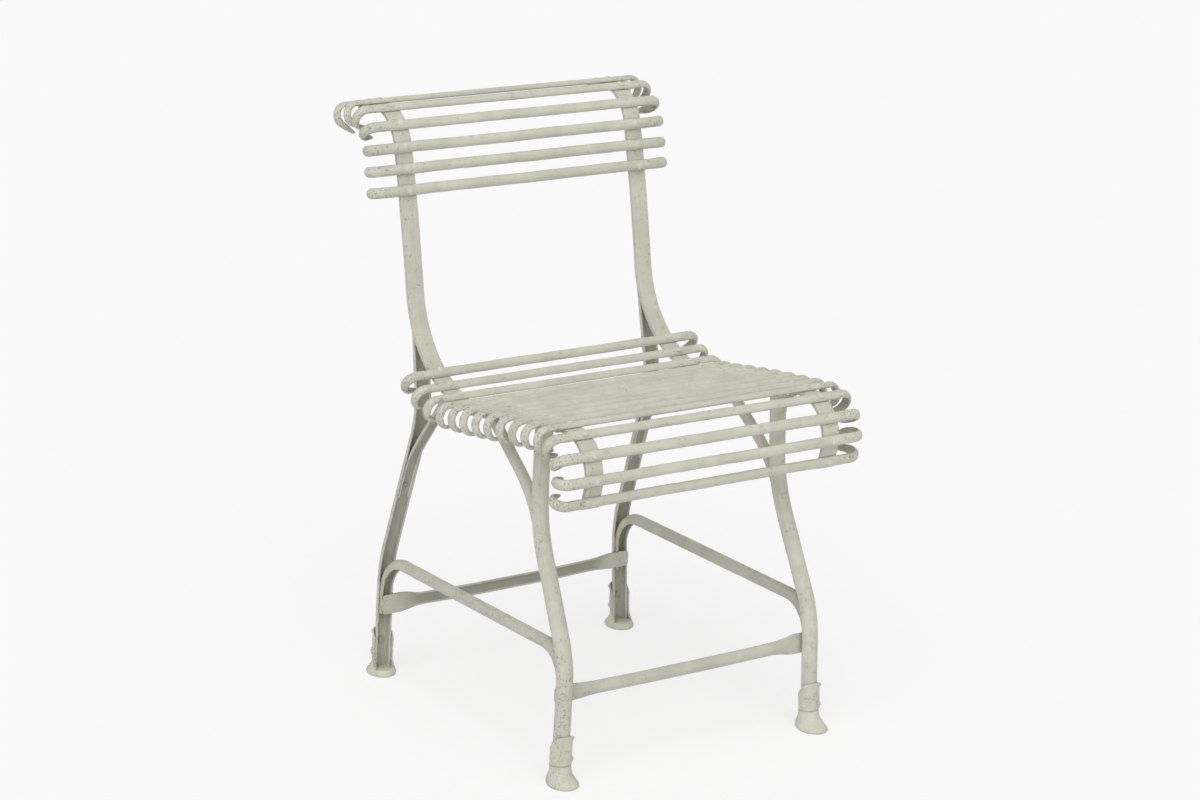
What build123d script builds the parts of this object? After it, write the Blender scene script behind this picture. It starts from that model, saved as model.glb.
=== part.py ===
"""Wrought iron garden chair on four hoof feet, every piece its own solid.

Millimetres, +Z up, the sitter faces -Y, origin on the floor under the middle.
Left is -X and right is +X, as seen by someone standing in front of the chair.
"""
import math
import os

from build123d import *

# Fits
nest_gap = 0.3
rest_gap = 0.2
hole_gap = 0.15

# Side straps, flat iron bent along the seat and back
strap_width = 24.0
strap_thick = 5.0
strap_x = 172.5
strap_corner = 6.0
strap_end_y = -261.9
strap_end_z = 352.4
drop_length = 26.6
drop_lean = 15.0
roll_radius = 49.6
roll_turn = 109.7
seat_radius = 2440.0
seat_turn = 5.0
bend_radius = 132.0
bend_turn = 91.1
back_radius = 2420.0
back_turn = 4.35
top_radius = 55.1
top_turn = 86.1
tip_radius = 180.0
tip_turn = 11.4

# Slats, half-round bar hooked at both ends
slat_radius = 6.5
slat_half_length = 224.0
hook_radius = 11.5
tail_length = 7.0
tail_tip_radius = 2.5
front_slats = 4
seat_slats = 12
back_slats = 7
slat_pitch = 28.1
first_front_slat = 10.6
first_back_slat = 126.0

# Legs, hollow half-round bar splayed outwards
leg_radius = 11.5
leg_wall = 3.0
leg_splay = 1.9
foot_x = 187.0
leg_end_z = 9.0
front_leg_at = 183.5
front_top = 86.9
front_hip_radius = 185.0
front_rake = 26.0
front_shin = 97.0
front_knee_radius = 133.6
rear_leg_at = 15.6
rear_leaf = 2.2
rear_above = 44.5
rear_below = 140.5
rear_hip_radius = 124.9
rear_rake = 19.5
rear_shin = 172.8
rear_knee_radius = 178.4

# Tabs that turn the front legs forward under the straps
tab_width = 16.0
tab_thick = 3.2
tab_bend = 12.0
tab_past_rivet = 9.0
tab_root = 30.0
tab_slat = 5

# Braces, hollow half-round bar nested in the legs
brace_wall = 2.7
brace_flat = 1.2
brace_past_rivet = 9.0
brace_knee_radius = 140.0
brace_head_radius = 32.0
front_brace_slope = 36.0
front_brace_corner = 33.5
front_brace_toe = 262.0
front_brace_slats = (11, 12)
rear_brace_slope = 51.0
rear_brace_corner = 25.0
rear_brace_toe = 250.0
rear_brace_slats = (13,)

# Side stretchers, U bar bowed down into the legs
bow_wall = 2.7
bow_depth = 12.5
bow_top_z = 174.0
left_bow_drop = 7.0
right_bow_drop = 1.0
front_bow_bend = 40.0
rear_bow_bend = 49.0
bow_end_past_rivet = 14.0

# Cross stretchers, hollow half-round bar with flattened ends
cross_radius = 8.2
cross_wall = 2.6
front_cross_z = 111.5
rear_cross_z = 98.0
paddle_thick = 3.2
paddle_height = 25.0
paddle_length = 27.0
paddle_reach = 7.4
paddle_taper = 28.0
paddle_round = 4.0

# Hoof castings
sleeve_wall = 2.4
sleeve_top = 62.0
sleeve_side = 2.0
front_hoof_reach = 9.0
rear_hoof_reach = 3.5
coronet_z = 24.0
hoof_sole = (16.4, 21.8)
hoof_swell = (18.8, 24.2)
hoof_neck = (14.6, 13.4)
hoof_swell_z = 5.0
claw_radius = 3.6
claw_angle = 56.0
claw_z = 32.0
ear_radius = 2.8
ear_drop = 3.0

# Rivets
rivet_radius = 2.5
rivet_head_radius = 4.4
rivet_head_rise = 1.3
rivet_tail_radius = 4.0
rivet_tail_thick = 1.5
big_rivet_radius = 3.0
big_head_radius = 5.2
big_head_rise = 2.4
big_tail_radius = 3.4
paddle_tail_thick = 0.6
front_brace_rivet = -146.4
front_brace_stand = 2.1
rear_brace_rivet = -326.4
hoof_rivet_z = 44.0
rear_leg_rivets = (-77.0, -27.0)

# Sizes that follow from those above
brace_radius = leg_radius - leg_wall - nest_gap
brace_bore = brace_radius - brace_wall
bow_radius = leg_radius - leg_wall - nest_gap
bow_tip = bow_depth - bow_radius
bar_half = slat_half_length - hook_radius - slat_radius
splay_sin = math.sin(math.radians(leg_splay))
splay_cos = math.cos(math.radians(leg_splay))
paddle_face = bow_tip + rest_gap
sleeve_radius = leg_radius + rest_gap + sleeve_wall
side_names = {-1: "left", 1: "right"}
fore_names = {-1: "front", 1: "rear"}


def seat_run(depth):
    """Line of the strap at a depth under its sitting face, from the front drop to the top roll."""
    heading = math.radians(90 + drop_lean)
    start = (strap_end_y + depth * math.sin(heading), strap_end_z - depth * math.cos(heading))
    with BuildLine() as run:
        drop = PolarLine(start, drop_length, 90 + drop_lean)
        roll = JernArc(drop @ 1, drop % 1, roll_radius - depth, -roll_turn)
        seat = JernArc(roll @ 1, roll % 1, seat_radius - depth, -seat_turn)
        bend = JernArc(seat @ 1, seat % 1, bend_radius + depth, bend_turn)
        back = JernArc(bend @ 1, bend % 1, back_radius - depth, -back_turn)
        top = JernArc(back @ 1, back % 1, top_radius - depth, -top_turn)
        JernArc(top @ 1, top % 1, tip_radius - depth, -tip_turn)
    return run.wire()


sitting_line = seat_run(0)
seat_length = drop_length + roll_radius * math.radians(roll_turn) + seat_radius * math.radians(seat_turn)
bend_end = seat_length + bend_radius * math.radians(bend_turn)


def station(length, lift, x=0.0):
    """Plane on the strap's sitting face: local X across the chair, Y along the strap, Z outwards."""
    spot = sitting_line.position_at(length, position_mode=PositionMode.LENGTH)
    along = sitting_line.tangent_at(length, position_mode=PositionMode.LENGTH)
    origin = (x, spot.X - lift * along.Y, spot.Y + lift * along.X)
    return Plane(origin=origin, x_dir=(1, 0, 0), z_dir=(0, -along.Y, along.X))


def slat_lengths():
    """Distance of each slat along the strap, in the order front, seat, back."""
    lower = [first_front_slat + i * slat_pitch for i in range(front_slats + seat_slats)]
    upper = [bend_end + first_back_slat + i * slat_pitch for i in range(back_slats)]
    return lower + upper


def drop_below(radius, rake, shin, knee):
    """How far down and back a raked leg goes from the top of its hip bend to the end of its knee bend."""
    lean = math.radians(rake)
    down = (radius + knee) * math.sin(lean) + shin * math.cos(lean)
    back = (radius + knee) * (1 - math.cos(lean)) + shin * math.sin(lean)
    return down, back


# Feet under the places where the legs meet the straps
front_seat = station(front_leg_at, 0.0)
front_drop, front_back = drop_below(front_hip_radius, front_rake, front_shin, front_knee_radius)
front_foot_y = front_seat.origin.Y - front_back
front_shank_z = front_seat.origin.Z / splay_cos - front_top - front_drop
rear_seat = station(bend_end + rear_leg_at, leg_radius - rear_leaf - strap_thick - rest_gap)
rear_lean = math.degrees(math.atan2(rear_seat.y_dir.Y, rear_seat.y_dir.Z))
rear_hip = rear_seat.origin - rear_seat.y_dir * rear_below
rear_drop, rear_back = drop_below(rear_hip_radius, rear_rake, rear_shin, rear_knee_radius)
rear_foot_y = rear_hip.Y - rear_hip_radius * (1 - math.cos(math.radians(rear_lean))) + rear_back
rear_shank_z = rear_hip.Z / splay_cos - rear_hip_radius * math.sin(math.radians(rear_lean)) - rear_drop


def strap_band(depth, height, x, width):
    """Solid band that follows the strap between two depths, used to shape what lies against it."""
    with BuildPart() as band:
        with BuildSketch(Plane.YZ.offset(x - width / 2)):
            with BuildLine():
                add(seat_run(depth))
                add(seat_run(-height))
                Line(seat_run(depth) @ 0, seat_run(-height) @ 0)
                Line(seat_run(depth) @ 1, seat_run(-height) @ 1)
            make_face()
        extrude(amount=width)
    return band.part


def side_strap(side):
    """Flat iron strap with a hole for each slat rivet and two for the rear leg."""
    blank = strap_band(strap_thick, 0.0, side * strap_x, strap_width)
    with BuildPart() as strap:
        add(blank)
        tips = strap.edges().filter_by(lambda e: abs(e.length - strap_thick) < hole_gap)
        fillet(tips, strap_corner)
        for length in slat_lengths():
            with BuildSketch(station(length, 0.0, side * strap_x)):
                Circle(rivet_radius + hole_gap)
            extrude(amount=strap_thick + roll_radius / 2, both=True, mode=Mode.SUBTRACT)
        for length in rear_leg_rivets:
            seat = leg_rivet_plane(side, 1, length)
            sink = rivet_tail_thick + rest_gap
            with Locations(seat.offset(-depth_to_sitting_face(seat))):
                Cylinder(rivet_radius + hole_gap, 3 * strap_thick, mode=Mode.SUBTRACT)
                Cylinder(rivet_tail_radius + hole_gap, 2 * sink, mode=Mode.SUBTRACT)
    return strap.part


def depth_to_sitting_face(seat):
    """How far the strap's sitting face lies below a rivet plane on the back of a rear leg."""
    return sitting_line.distance_to(Vector(seat.origin.Y, seat.origin.Z, 0))


def half_round(radius, wall, outward):
    """Half-round section about the sketch origin, bulging towards +Y or -Y; wall 0 leaves it solid."""
    Circle(radius)
    if wall:
        Circle(radius - wall, mode=Mode.SUBTRACT)
    with Locations((0, -outward * radius / 2)):
        Rectangle(2 * radius, radius, mode=Mode.SUBTRACT)


def slat(length):
    """Half-round slat, flat side on the straps, both ends hooked under and drawn out to a tip."""
    seat = station(length, rest_gap)
    upright = Plane(origin=seat.origin, x_dir=(1, 0, 0), z_dir=-seat.y_dir)
    hook_y = -2 * hook_radius
    with BuildPart() as bar:
        with BuildLine(upright) as run:
            hook = JernArc((-bar_half, hook_y), -seat.x_dir, hook_radius, -180)
            Line(hook @ 1, (0.0, 0.0))
        root = Plane(origin=run.line @ 0, x_dir=seat.y_dir, z_dir=-seat.x_dir)
        with BuildSketch(root):
            half_round(slat_radius, 0.0, 1)
        sweep(path=run.wire())
        with BuildSketch(root):
            half_round(slat_radius, 0.0, 1)
        with BuildSketch(root.offset(-tail_length)):
            half_round(tail_tip_radius, 0.0, 1)
        loft()
        mirror(about=Plane.YZ)
        for side in (-1, 1):
            with BuildSketch(station(length, rest_gap, side * strap_x)):
                Circle(rivet_radius + hole_gap)
            extrude(amount=slat_radius + rest_gap, mode=Mode.SUBTRACT)
    return bar.part


def leg_plane(side):
    """Upright plane of both legs on one side: local X to the rear, local Y up along the splay."""
    return Plane(origin=(side * foot_x, 0, 0), x_dir=(0, 1, 0), z_dir=(splay_cos, 0, side * splay_sin))


def across_leg(side, y, height):
    """Plane square to a leg at a height along it: local X across the chair, local Y to the rear."""
    flank = leg_plane(side)
    return Plane(origin=flank.from_local_coords((y, height, 0)), x_dir=flank.z_dir, z_dir=flank.y_dir)


def front_leg_line(side):
    """Centre line of a front leg, floor end first."""
    with BuildLine(leg_plane(side)) as run:
        shank = Line((front_foot_y, leg_end_z), (front_foot_y, front_shank_z))
        knee = JernArc(shank @ 1, shank % 1, front_knee_radius, -front_rake)
        shin = Line(knee @ 1, knee @ 1 + (knee % 1) * front_shin)
        hip = JernArc(shin @ 1, shin % 1, front_hip_radius, front_rake)
        Line(hip @ 1, hip @ 1 + (hip % 1) * front_top)
    return run.wire()


def rear_leg_line(side):
    """Centre line of a rear leg, floor end first."""
    with BuildLine(leg_plane(side)) as run:
        shank = Line((rear_foot_y, leg_end_z), (rear_foot_y, rear_shank_z))
        knee = JernArc(shank @ 1, shank % 1, rear_knee_radius, rear_rake)
        shin = Line(knee @ 1, knee @ 1 + (knee % 1) * rear_shin)
        hip = JernArc(shin @ 1, shin % 1, rear_hip_radius, -rear_rake - rear_lean)
        Line(hip @ 1, hip @ 1 + (hip % 1) * (rear_below + rear_above))
    return run.wire()


def front_shin_point(height):
    """Point (Y, height) on the straight raked length of the front legs, or on its extension."""
    rake = math.radians(front_rake)
    knee_y = front_foot_y + front_knee_radius * (1 - math.cos(rake))
    knee_z = front_shank_z + front_knee_radius * math.sin(rake)
    return knee_y + (height - knee_z) * math.tan(rake), height


def rear_shin_point(height):
    """Point (Y, height) on the straight raked length of the rear legs, or on its extension."""
    rake = math.radians(rear_rake)
    knee_y = rear_foot_y - rear_knee_radius * (1 - math.cos(rake))
    knee_z = rear_shank_z + rear_knee_radius * math.sin(rake)
    return knee_y - (height - knee_z) * math.tan(rake), height


def front_leg(side):
    """Front leg with its top turned forward as a flat tab under the strap."""
    tab_seat = station(slat_lengths()[tab_slat], -strap_thick - rest_gap - tab_thick / 2)
    run = front_leg_line(side)
    web_y = (run @ 1).Y - leg_radius + leg_wall / 2
    free_end = tab_seat.origin - tab_seat.y_dir * tab_past_rivet
    slope = tab_seat.y_dir.Z / tab_seat.y_dir.Y
    corner_z = tab_seat.origin.Z + (web_y - tab_seat.origin.Y) * slope
    strap_room = strap_band(strap_thick + tab_thick, strap_width, side * strap_x, 2 * strap_width)
    with BuildPart() as leg:
        with BuildSketch(across_leg(side, front_foot_y, leg_end_z)):
            half_round(leg_radius, leg_wall, -1)
        sweep(path=run)
        add(strap_room, mode=Mode.SUBTRACT)
        top_x = side * (foot_x - corner_z * splay_sin / splay_cos)
        with BuildSketch(Plane.YZ.offset(top_x - tab_width / 2)):
            with BuildLine():
                FilletPolyline(
                    (web_y, corner_z - tab_root),
                    (web_y, corner_z),
                    (free_end.Y, free_end.Z),
                    radius=tab_bend,
                )
            trace(line_width=tab_thick)
        extrude(amount=tab_width)
        with BuildSketch(station(slat_lengths()[tab_slat], 0.0, side * strap_x)):
            Circle(rivet_radius + hole_gap)
        extrude(amount=-strap_width, mode=Mode.SUBTRACT)
        rivet_hole(leg_rivet_plane(side, -1, front_brace_rivet), big_rivet_radius)
        rivet_hole(leg_rivet_plane(side, -1, front_cross_z - leg_end_z), big_rivet_radius)
        rivet_hole(leg_rivet_plane(side, -1, hoof_rivet_z - leg_end_z), rivet_radius)
    return leg.part


def rear_leg(side):
    """Rear leg, its upper end hammered flat along the back of the strap."""
    strap_room = strap_band(strap_thick + rest_gap, strap_width, side * strap_x, 2 * strap_width)
    with BuildPart() as leg:
        with BuildSketch(across_leg(side, rear_foot_y, leg_end_z)):
            half_round(leg_radius, leg_wall, 1)
        sweep(path=rear_leg_line(side))
        add(strap_room, mode=Mode.SUBTRACT)
        rivet_hole(leg_rivet_plane(side, 1, rear_brace_rivet), big_rivet_radius)
        rivet_hole(leg_rivet_plane(side, 1, rear_cross_z - leg_end_z), big_rivet_radius)
        rivet_hole(leg_rivet_plane(side, 1, hoof_rivet_z - leg_end_z), rivet_radius)
        for length in rear_leg_rivets:
            rivet_hole(leg_rivet_plane(side, 1, length), rivet_radius)
    return leg.part


def leg_rivet_plane(side, fore, length):
    """Plane on a leg's outer face at a length up it, or down from its top if negative; local Z outwards."""
    run = front_leg_line(side) if fore < 0 else rear_leg_line(side)
    if length < 0:
        length = run.length + length
    spot = run.position_at(length, position_mode=PositionMode.LENGTH)
    up = run.tangent_at(length, position_mode=PositionMode.LENGTH)
    out = fore * up.cross(leg_plane(side).z_dir)
    return Plane(origin=spot + out * leg_radius, x_dir=up, z_dir=out)


def rivet_hole(seat, radius):
    """Cut a rivet hole square to a seat plane through the wall behind it."""
    with Locations(seat.offset(big_head_rise - leg_radius / 2)):
        Cylinder(radius + hole_gap, leg_radius, mode=Mode.SUBTRACT)


def rivet(seat, saddle, radius, head, tail, grip):
    """Rivet with a domed head on a round bar and a flat tail; head and tail give radius and height."""
    head_radius, rise = head
    tail_radius, tail_thick = tail
    dome = (head_radius ** 2 + rise ** 2) / (2 * rise)
    sink = saddle - math.sqrt(saddle ** 2 - head_radius ** 2)
    half_way = (head_radius / 2, rise - dome + math.sqrt(dome ** 2 - head_radius ** 2 / 4))
    profile = Plane(origin=seat.origin, x_dir=seat.x_dir, z_dir=-seat.y_dir)
    with BuildPart() as pin:
        with BuildSketch(profile):
            with BuildLine():
                Polyline((0.0, rise), (0.0, -sink), (head_radius, -sink), (head_radius, 0.0))
                ThreePointArc((head_radius, 0.0), half_way, (0.0, rise))
            make_face()
        revolve(axis=Axis(seat.origin, seat.z_dir))
        barrel = Plane(origin=seat.origin - seat.z_dir * saddle, x_dir=seat.y_dir, z_dir=seat.x_dir)
        with BuildSketch(barrel):
            Circle(saddle + rest_gap / 2)
        extrude(amount=2 * head_radius, both=True, mode=Mode.SUBTRACT)
        with BuildSketch(seat.offset(-grip - tail_thick)):
            Circle(radius)
        extrude(amount=grip + tail_thick + rise / 2)
        with BuildSketch(seat.offset(-grip - tail_thick)):
            Circle(tail_radius)
        extrude(amount=tail_thick)
    return pin.part


def brace(side, fore):
    """Hollow brace nested in a leg, bent away from it and filed flat where it meets the strap."""
    pins = [slat_lengths()[i] for i in (front_brace_slats if fore < 0 else rear_brace_slats)]
    middle = (pins[0] + pins[-1]) / 2
    past_middle = pins[-1] - middle + brace_past_rivet
    slope = math.radians(front_brace_slope if fore < 0 else rear_brace_slope)
    corner_out = front_brace_corner if fore < 0 else rear_brace_corner
    head = station(middle, -strap_thick - rest_gap - brace_radius + brace_flat)
    inner = head.origin - fore * head.y_dir * past_middle
    corner = head.origin + fore * head.y_dir * corner_out
    bend = (corner.Y, corner.Z / splay_cos)
    tip = (inner.Y, inner.Z / splay_cos)
    shin = front_shin_point if fore < 0 else rear_shin_point
    toe = shin(front_brace_toe if fore < 0 else rear_brace_toe)
    rise = shin(toe[1] + 1)
    gradient = rise[0] - toe[0]
    drop = toe[0] - bend[0] - gradient * toe[1] + gradient * bend[1]
    fall = drop / (fore * math.cos(slope) + gradient * math.sin(slope))
    knee = (bend[0] + fore * fall * math.cos(slope), bend[1] - fall * math.sin(slope))
    rivet_length = front_brace_rivet if fore < 0 else rear_brace_rivet
    strap_room = strap_band(strap_thick + rest_gap, strap_width, side * strap_x, 2 * strap_width)
    with BuildPart() as arm:
        with BuildLine(leg_plane(side)) as run:
            lower = Line(toe, knee)
            Line(knee, bend)
            upper = Line(bend, tip)
            fillet(run.vertices().sort_by_distance(lower @ 1)[0], brace_knee_radius)
            fillet(run.vertices().sort_by_distance(upper @ 0)[0], brace_head_radius)
        path = run.wire()
        start = path @ 0 if (path @ 0).Z < (path @ 1).Z else path @ 1
        flank = leg_plane(side)
        lean = Vector(0, gradient, 1).normalized()
        up = flank.x_dir * lean.Y + flank.y_dir * lean.Z
        with BuildSketch(Plane(origin=start, x_dir=flank.z_dir, z_dir=up)):
            half_round(brace_radius, brace_wall, fore)
        sweep(path=path)
        add(strap_room, mode=Mode.SUBTRACT)
        for length in pins:
            with BuildSketch(station(length, 0.0, side * strap_x)):
                Circle(rivet_radius + hole_gap)
            extrude(amount=-strap_width, mode=Mode.SUBTRACT)
        rivet_hole(leg_rivet_plane(side, fore, rivet_length), big_rivet_radius)
    return arm.part


def side_stretcher(side):
    """U bar between the legs of one side, both ends bowed down into the leg channels."""
    front_z = bow_top_z - bow_radius
    rear_z = front_z - (left_bow_drop if side < 0 else right_bow_drop)
    front_end = front_cross_z - bow_end_past_rivet
    rear_end = rear_cross_z - bow_end_past_rivet
    with BuildPart() as bow:
        with BuildLine(leg_plane(side)) as run:
            rise = Line((front_foot_y, front_end), (front_foot_y, front_z))
            Line((front_foot_y, front_z), (rear_foot_y, rear_z))
            fall = Line((rear_foot_y, rear_z), (rear_foot_y, rear_end))
            fillet(run.vertices().sort_by_distance(rise @ 1)[0], front_bow_bend)
            fillet(run.vertices().sort_by_distance(fall @ 0)[0], rear_bow_bend)
        with BuildSketch(across_leg(side, front_foot_y, front_end)):
            half_round(bow_radius, bow_wall, -1)
            flange_x = bow_radius - bow_wall / 2
            with Locations((flange_x, bow_tip / 2), (-flange_x, bow_tip / 2)):
                Rectangle(bow_wall, bow_tip)
        sweep(path=run.wire())
        rivet_hole(leg_rivet_plane(side, -1, front_cross_z - leg_end_z), big_rivet_radius)
        rivet_hole(leg_rivet_plane(side, 1, rear_cross_z - leg_end_z), big_rivet_radius)
    return bow.part


def cross_stretcher(fore):
    """Hollow half-round bar between left and right legs, its ends flattened into paddles."""
    foot_y = front_foot_y if fore < 0 else rear_foot_y
    height = front_cross_z if fore < 0 else rear_cross_z
    leg_x = foot_x - height * splay_sin / splay_cos
    outer_y = foot_y - fore * paddle_face
    inner_y = outer_y - fore * paddle_thick
    end_x = leg_x + paddle_reach
    flat_x = end_x - paddle_length
    neck_x = flat_x - paddle_taper
    centre = Plane(origin=(0, inner_y, height), x_dir=(0, 1, 0), z_dir=(1, 0, 0))
    with BuildPart() as bar:
        with BuildSketch(centre):
            half_round_on_side(cross_radius, fore)
        extrude(amount=flat_x, both=True)
        for side in (-1, 1):
            with BuildSketch(Plane(origin=(0, inner_y, height))):
                with BuildLine():
                    Polyline(
                        (side * neck_x, fore * cross_radius),
                        (side * flat_x, fore * paddle_thick),
                        (side * flat_x, fore * cross_radius),
                        close=True,
                    )
                make_face()
            extrude(amount=cross_radius, both=True, mode=Mode.SUBTRACT)
        with BuildSketch(Plane(origin=(0, inner_y, height), x_dir=(1, 0, 0), z_dir=(0, -1, 0))):
            for side in (-1, 1):
                with BuildLine():
                    Polyline(
                        (side * neck_x, -cross_radius),
                        (side * flat_x, -paddle_height / 2),
                        (side * end_x, -paddle_height / 2),
                        (side * end_x, paddle_height / 2),
                        (side * flat_x, paddle_height / 2),
                        (side * neck_x, cross_radius),
                        close=True,
                    )
                make_face()
            ends = [v for v in vertices() if abs(abs(v.X) - end_x) < hole_gap]
            fillet(ends, paddle_round)
        extrude(amount=-fore * paddle_thick)
        with BuildSketch(centre):
            half_round_on_side(cross_radius - cross_wall, fore)
        extrude(amount=neck_x - paddle_taper, both=True, mode=Mode.SUBTRACT)
        for side in (-1, 1):
            with BuildSketch(centre.offset(side * (neck_x - paddle_taper))):
                half_round_on_side(cross_radius - cross_wall, fore)
            with BuildSketch(centre.offset(side * flat_x)):
                half_round_on_side(rest_gap, fore)
            loft(mode=Mode.SUBTRACT)
            seat = leg_rivet_plane(side, fore, height - leg_end_z)
            rivet_hole(seat.offset(-leg_radius), big_rivet_radius)
    return bar.part


def half_round_on_side(radius, outward):
    """Solid half-round about the sketch origin, bulging towards local +X or -X."""
    Circle(radius)
    with Locations((-outward * radius / 2, 0)):
        Rectangle(radius, 2 * radius, mode=Mode.SUBTRACT)


def hoof(side, fore):
    """Cast hoof with a sleeve round the outer face of the leg, claws and a flat sole."""
    foot_y = front_foot_y if fore < 0 else rear_foot_y
    ankle = across_leg(side, foot_y, leg_end_z)
    toe = front_hoof_reach if fore < 0 else rear_hoof_reach
    levels = ((0.0, hoof_sole), (hoof_swell_z, hoof_swell), (coronet_z, hoof_neck))
    with BuildPart() as shoe:
        for level, axes in levels:
            reach = toe if level < coronet_z else 0.0
            with BuildSketch(Plane(origin=(side * foot_x, foot_y + fore * reach, level))):
                Ellipse(axes[0], axes[1])
        loft()
        with BuildSketch(ankle):
            Circle(sleeve_radius)
            with Locations((0, -fore * (sleeve_radius / 2 + sleeve_side))):
                Rectangle(2 * sleeve_radius, sleeve_radius, mode=Mode.SUBTRACT)
        extrude(amount=sleeve_top - leg_end_z)
        for turn in (-1, 1):
            bearing = math.radians(turn * claw_angle)
            out = ankle.x_dir * math.sin(bearing) + fore * ankle.y_dir * math.cos(bearing)
            claw = ankle.origin + out * (sleeve_radius - claw_radius / 2)
            claw = claw + ankle.z_dir * (claw_z - leg_end_z)
            ear = ankle.origin + out * (sleeve_radius - ear_radius / 2)
            ear = ear + ankle.z_dir * (sleeve_top - ear_drop - leg_end_z)
            with Locations(claw):
                Sphere(claw_radius)
            with Locations(ear):
                Sphere(ear_radius)
        with BuildSketch(ankle):
            Circle(leg_radius + rest_gap)
            with Locations((0, -fore * sleeve_radius)):
                Rectangle(2 * (leg_radius + rest_gap), 2 * sleeve_radius)
        extrude(amount=2 * sleeve_top, mode=Mode.SUBTRACT)
        sleeve_face = leg_rivet_plane(side, fore, hoof_rivet_z - leg_end_z).offset(sleeve_wall)
        rivet_hole(sleeve_face, rivet_radius)
    return shoe.part


def inner_drop(bore, tail_radius):
    """How far a flat disc stands off the bottom of a round bore."""
    return bore - math.sqrt(bore ** 2 - tail_radius ** 2) + rest_gap


def save(part, label):
    """Name a finished piece and write its file."""
    part.label = label
    export_step(part, "parts/" + label + ".step")


def slat_name(index):
    """Name of a slat from its place along the strap."""
    if index < front_slats:
        return "front_slat_" + str(front_slats - index)
    if index < front_slats + seat_slats:
        return "seat_slat_" + str(index - front_slats + 1)
    return "back_slat_" + str(index - front_slats - seat_slats + 1)


os.makedirs("parts", exist_ok=True)

# Straps and slats
for side in (-1, 1):
    save(side_strap(side), side_names[side] + "_side_strap")
for index, length in enumerate(slat_lengths()):
    save(slat(length), slat_name(index))

# Legs, braces, stretchers and feet
for side in (-1, 1):
    save(front_leg(side), "front_" + side_names[side] + "_leg")
    save(rear_leg(side), "rear_" + side_names[side] + "_leg")
    save(side_stretcher(side), side_names[side] + "_side_stretcher")
    for fore in (-1, 1):
        corner_name = fore_names[fore] + "_" + side_names[side]
        save(brace(side, fore), corner_name + "_brace")
        save(hoof(side, fore), corner_name + "_hoof")
for fore in (-1, 1):
    save(cross_stretcher(fore), fore_names[fore] + "_stretcher")

# Rivets, one group of loose solids for each use
small_head = (rivet_head_radius, rivet_head_rise)
small_tail = (rivet_tail_radius, rivet_tail_thick)
big_head = (big_head_radius, big_head_rise)
slat_pins = []
for index, length in enumerate(slat_lengths()):
    grip = slat_radius + rest_gap + strap_thick + rest_gap
    tail = small_tail
    if index == tab_slat:
        grip = grip + tab_thick + rest_gap
    if index in front_brace_slats + rear_brace_slats:
        tail = (big_tail_radius, rivet_tail_thick)
        bore_z = station(length, -strap_thick - brace_radius).origin.Z
        off_middle = abs(foot_x - strap_x - bore_z * splay_sin / splay_cos)
        tilt = tail[0] * splay_sin + 2 * rest_gap
        grip = grip + brace_wall - brace_flat + tilt + inner_drop(brace_bore, tail[0] + off_middle)
    for side in (-1, 1):
        seat = station(length, slat_radius + rest_gap, side * strap_x)
        slat_pins.append(rivet(seat, slat_radius, rivet_radius, small_head, tail, grip))
save(Compound(children=slat_pins), "slat_rivets")

brace_pins = []
stretcher_pins = []
hoof_pins = []
rear_leg_pins = []
rear_brace_grip = leg_wall + nest_gap + brace_wall + inner_drop(brace_bore, big_tail_radius)
front_brace_grip = rear_brace_grip + front_brace_stand
paddle_grip = leg_radius + paddle_face + paddle_thick + rest_gap / 2
hoof_grip = sleeve_wall + rest_gap + leg_wall + inner_drop(leg_radius - leg_wall, rivet_tail_radius)
for side in (-1, 1):
    for fore, height in ((-1, front_cross_z), (1, rear_cross_z)):
        seat = leg_rivet_plane(side, fore, front_brace_rivet if fore < 0 else rear_brace_rivet)
        tail = (big_tail_radius, rivet_tail_thick)
        grip = front_brace_grip if fore < 0 else rear_brace_grip
        brace_pins.append(rivet(seat, leg_radius, big_rivet_radius, big_head, tail, grip))
        seat = leg_rivet_plane(side, fore, height - leg_end_z)
        tail = (big_head_radius, paddle_tail_thick)
        stretcher_pins.append(rivet(seat, leg_radius, big_rivet_radius, small_head, tail, paddle_grip))
        seat = leg_rivet_plane(side, fore, hoof_rivet_z - leg_end_z).offset(sleeve_wall + rest_gap)
        hoof_pins.append(rivet(seat, sleeve_radius, rivet_radius, small_head, small_tail, hoof_grip))
    for length in rear_leg_rivets:
        seat = leg_rivet_plane(side, 1, length)
        grip = depth_to_sitting_face(seat) - rivet_tail_thick - rest_gap / 2
        rear_leg_pins.append(rivet(seat, leg_radius, rivet_radius, small_head, small_tail, grip))
save(Compound(children=brace_pins), "brace_rivets")
save(Compound(children=rear_leg_pins), "rear_leg_rivets")
save(Compound(children=stretcher_pins), "stretcher_rivets")
save(Compound(children=hoof_pins), "hoof_rivets")
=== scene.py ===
from functools import partial
import bpy
import numpy as np
from mathutils import Matrix


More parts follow.
